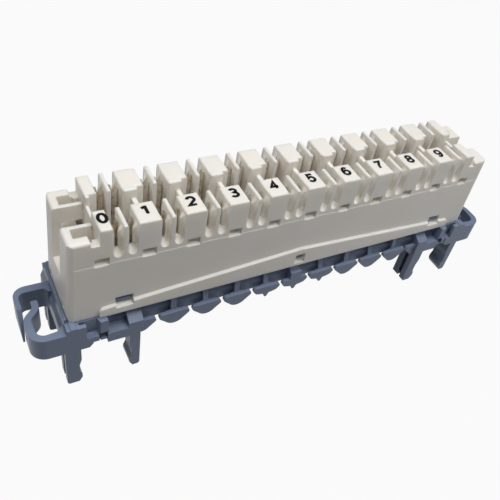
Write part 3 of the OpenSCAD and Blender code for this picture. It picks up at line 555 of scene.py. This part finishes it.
def camera_matrix(place, azimuth, elevation, roll):
    """Camera frame at place, in millimetres, with its direction and roll in degrees.

    It looks along azimuth, where 0 is +Y and 90 is +X, and down by elevation, and is then turned by roll.
    """
    az, el, ro = (math.radians(v) for v in (azimuth, elevation, roll))
    ahead = Vector((math.sin(az) * math.cos(el), math.cos(az) * math.cos(el), -math.sin(el)))
    level = Vector((math.cos(az), -math.sin(az), 0))
    above = level.cross(ahead)
    right = level * math.cos(ro) + above * math.sin(ro)
    up = right.cross(ahead)
    axes = Matrix((right, up, -ahead)).transposed().to_4x4()
    return Matrix.Translation(Vector(place) * MM) @ axes


def add_camera(scene):
    """Makes the camera and sets it as the scene's."""
    lens = bpy.data.cameras.new("camera")
    lens.sensor_width = CAMERA_SENSOR
    lens.lens = CAMERA_LENS
    lens.shift_x, lens.shift_y = CAMERA_SHIFT
    lens.clip_start = 0.005
    lens.clip_end = 20.0
    camera = bpy.data.objects.new("camera", lens)
    scene.collection.objects.link(camera)
    camera.matrix_world = camera_matrix(CAMERA_PLACE, CAMERA_AZIMUTH, CAMERA_ELEVATION, CAMERA_ROLL)
    scene.camera = camera


def add_floor(scene):
    """Lays the paper under the block: a level grid of points, x and y from -FLOOR_HALF to FLOOR_HALF."""
    reach = np.linspace(-FLOOR_HALF, FLOOR_HALF, FLOOR_LINES)
    x, y = np.meshgrid(reach, reach, indexing="ij")
    points = np.stack([x, y, np.full_like(x, CAD_LOW[2] - FLOOR_DROP)], axis=-1).reshape(-1, 3)
    mesh = bpy.data.meshes.new("floor")
    mesh.from_pydata(points.tolist(), [], grid_faces(FLOOR_LINES, FLOOR_LINES, False, False).tolist())
    mesh.materials.append(studio_paper("white_paper"))
    floor = bpy.data.objects.new("floor", mesh)
    scene.collection.objects.link(floor)


def area_lamp(scene, name, place, aim, size, power, colour):
    """Square soft box at place, turned to aim, both and its side in millimetres, and its power in watts."""
    lamp = bpy.data.lights.new(name, "AREA")
    lamp.size = size * MM
    lamp.energy = power
    lamp.color = colour
    box = bpy.data.objects.new(name, lamp)
    scene.collection.objects.link(box)
    toward = Vector(aim) * MM - Vector(place) * MM
    turn = toward.to_track_quat("-Z", "Y").to_matrix().to_4x4()
    box.matrix_world = Matrix.Translation(Vector(place) * MM) @ turn


def light_world(scene):
    """Gives the world a faint even light, and plain white to the camera."""
    world = bpy.data.worlds.new("studio")
    scene.world = world
    world.use_nodes = True
    tree = world.node_tree
    tree.nodes.clear()
    path = add_node(tree, "ShaderNodeLightPath")
    light = add_node(tree, "ShaderNodeBackground", {"Color": WORLD_COLOUR, "Strength": WORLD_STRENGTH})
    seen = add_node(tree, "ShaderNodeBackground", {"Color": WHITE, "Strength": 1.0})
    mix = add_node(
        tree, "ShaderNodeMixShader",
        {0: path.outputs["Is Camera Ray"], 1: light.outputs[0], 2: seen.outputs[0]})
    add_node(tree, "ShaderNodeOutputWorld", {"Surface": mix.outputs[0]})


# ---------------------------------------------------------------- operators


class WIRINGBLOCK_OT_stage(bpy.types.Operator):
    """Builds the camera, the paper floor and the soft lamps"""

    bl_idname = "wiring_block.stage"
    bl_label = "Stage"

    def execute(self, context):
        scene = context.scene
        add_camera(scene)
        add_floor(scene)
        for lamp in LAMPS:
            area_lamp(scene, *lamp)
        light_world(scene)
        scene.view_settings.view_transform = "Standard"
        return {"FINISHED"}


class WIRINGBLOCK_OT_housing(bpy.types.Operator):
    """Gives the housing its ivory moulded finish"""

    bl_idname = "wiring_block.housing"
    bl_label = "Ivory housing"

    def execute(self, context):
        finish = context.scene.wiring_block_finish
        # the second colour, reach and shade share give the recesses their painted shade
        material = moulded_plastic(
            "ivory_moulded_polyester", finish.housing_colour, finish.housing_tone_and_shade, finish.grain_size,
            finish.edge_radius, roughness=0.42, translucency=0.5, reach=2.5 * MM, painted_shade_share=0.1, gloss=0.4)
        dress("housing", material)
        return {"FINISHED"}


class WIRINGBLOCK_OT_base(bpy.types.Operator):
    """Gives the base its blue grey moulded finish"""

    bl_idname = "wiring_block.base"
    bl_label = "Blue grey base"

    def execute(self, context):
        finish = context.scene.wiring_block_finish
        # the second colour, reach and shade share give the corners their painted shade
        material = moulded_plastic(
            "blue_grey_moulded_polycarbonate", finish.base_colour, finish.base_tone_and_shade, finish.grain_size,
            finish.edge_radius, roughness=0.36, translucency=0.0, reach=2.0 * MM, painted_shade_share=0.3, gloss=0.2)
        dress("base", material)
        return {"FINISHED"}


class WIRINGBLOCK_OT_contacts(bpy.types.Operator):
    """Gives the forty contacts their plated metal"""

    bl_idname = "wiring_block.contacts"
    bl_label = "Contacts"

    def execute(self, context):
        finish = context.scene.wiring_block_finish
        material = plated_bronze("silver_plated_bronze", finish.contact_colour, finish.contact_bronze)
        for name in CONTACTS:
            dress(name, material)
        return {"FINISHED"}


class WIRINGBLOCK_OT_numerals(bpy.types.Operator):
    """Prints the numerals 0 to 9 on the blocks of the -Y row"""

    bl_idname = "wiring_block.numerals"
    bl_label = "Numerals"

    def execute(self, context):
        ink = printing_ink("black_pad_printing_ink", context.scene.wiring_block_finish.ink_colour)
        settings = context.scene.wiring_block_print
        # a pair has two contacts, and its numeral stands half a pitch before the middle of the two
        first = middle_x(FRONT_CONTACTS[0])
        second = middle_x(FRONT_CONTACTS[1])
        last = middle_x(FRONT_CONTACTS[-1])
        pitch = (last - second) / (PAIR_COUNT - 1)
        row_start = (first + second) / 2 - pitch / 2
        for digit in range(PAIR_COUNT):
            x = row_start + digit * pitch
            if digit == 0:
                x += ZERO_SHIFT
            place = (x, -settings.row_distance, HOUSING_TOP)
            points, faces = numeral_mesh(digit, settings, place)
            mesh_piece(f"numeral_{digit}", points, faces, ink)
        return {"FINISHED"}


class WIRINGBLOCK_OT_pin_marks(bpy.types.Operator):
    """Adds the round ejector pin marks on the arms of the wire loops"""

    bl_idname = "wiring_block.pin_marks"
    bl_label = "Pin marks"

    def execute(self, context):
        settings = context.scene.wiring_block_print
        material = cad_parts["base"].data.materials[0]
        loop_top = top_beyond("base", CAD_HIGH[0] - LOOP_END)
        for side, sign in (("left", -1), ("right", 1)):
            for arm, end_distance, side_distance in PIN_MARKS:
                x = sign * (CAD_HIGH[0] - end_distance)
                y = CAD_LOW[1] + side_distance
                points, faces = pin_mark((x, y, loop_top), settings.pin_radius)
                mesh_piece(f"{side}_{arm}_pin_mark", points, faces, material)
        return {"FINISHED"}


class WIRINGBLOCK_PT_panel(bpy.types.Panel):
    """Lists the finishes and the steps that build them"""

    bl_idname = "WIRINGBLOCK_PT_panel"
    bl_label = "Wiring Block"
    bl_space_type = "VIEW_3D"
    bl_region_type = "UI"
    bl_category = "Wiring Block"

    def draw(self, context):
        for group in (context.scene.wiring_block_finish, context.scene.wiring_block_print):
            box = self.layout.box()
            for key in group.__annotations__:
                box.prop(group, key)
        for step in STEPS:
            self.layout.operator(step.bl_idname)


STEPS = (
    WIRINGBLOCK_OT_stage,
    WIRINGBLOCK_OT_housing,
    WIRINGBLOCK_OT_base,
    WIRINGBLOCK_OT_contacts,
    WIRINGBLOCK_OT_numerals,
    WIRINGBLOCK_OT_pin_marks,
)
GROUPS = (WiringBlockFinish, WiringBlockPrint)


def register():
    for cls in (*GROUPS, *STEPS, WIRINGBLOCK_PT_panel):
        bpy.utils.register_class(cls)
    bpy.types.Scene.wiring_block_finish = bpy.props.PointerProperty(type=WiringBlockFinish)
    bpy.types.Scene.wiring_block_print = bpy.props.PointerProperty(type=WiringBlockPrint)


def unregister():
    del bpy.types.Scene.wiring_block_print
    del bpy.types.Scene.wiring_block_finish
    for cls in reversed((*GROUPS, *STEPS, WIRINGBLOCK_PT_panel)):
        bpy.utils.unregister_class(cls)


def main():
    register()
    bpy.ops.wiring_block.stage()
    bpy.ops.wiring_block.housing()
    bpy.ops.wiring_block.base()
    bpy.ops.wiring_block.contacts()
    bpy.ops.wiring_block.numerals()
    bpy.ops.wiring_block.pin_marks()


if __name__ == "__main__":
    main()
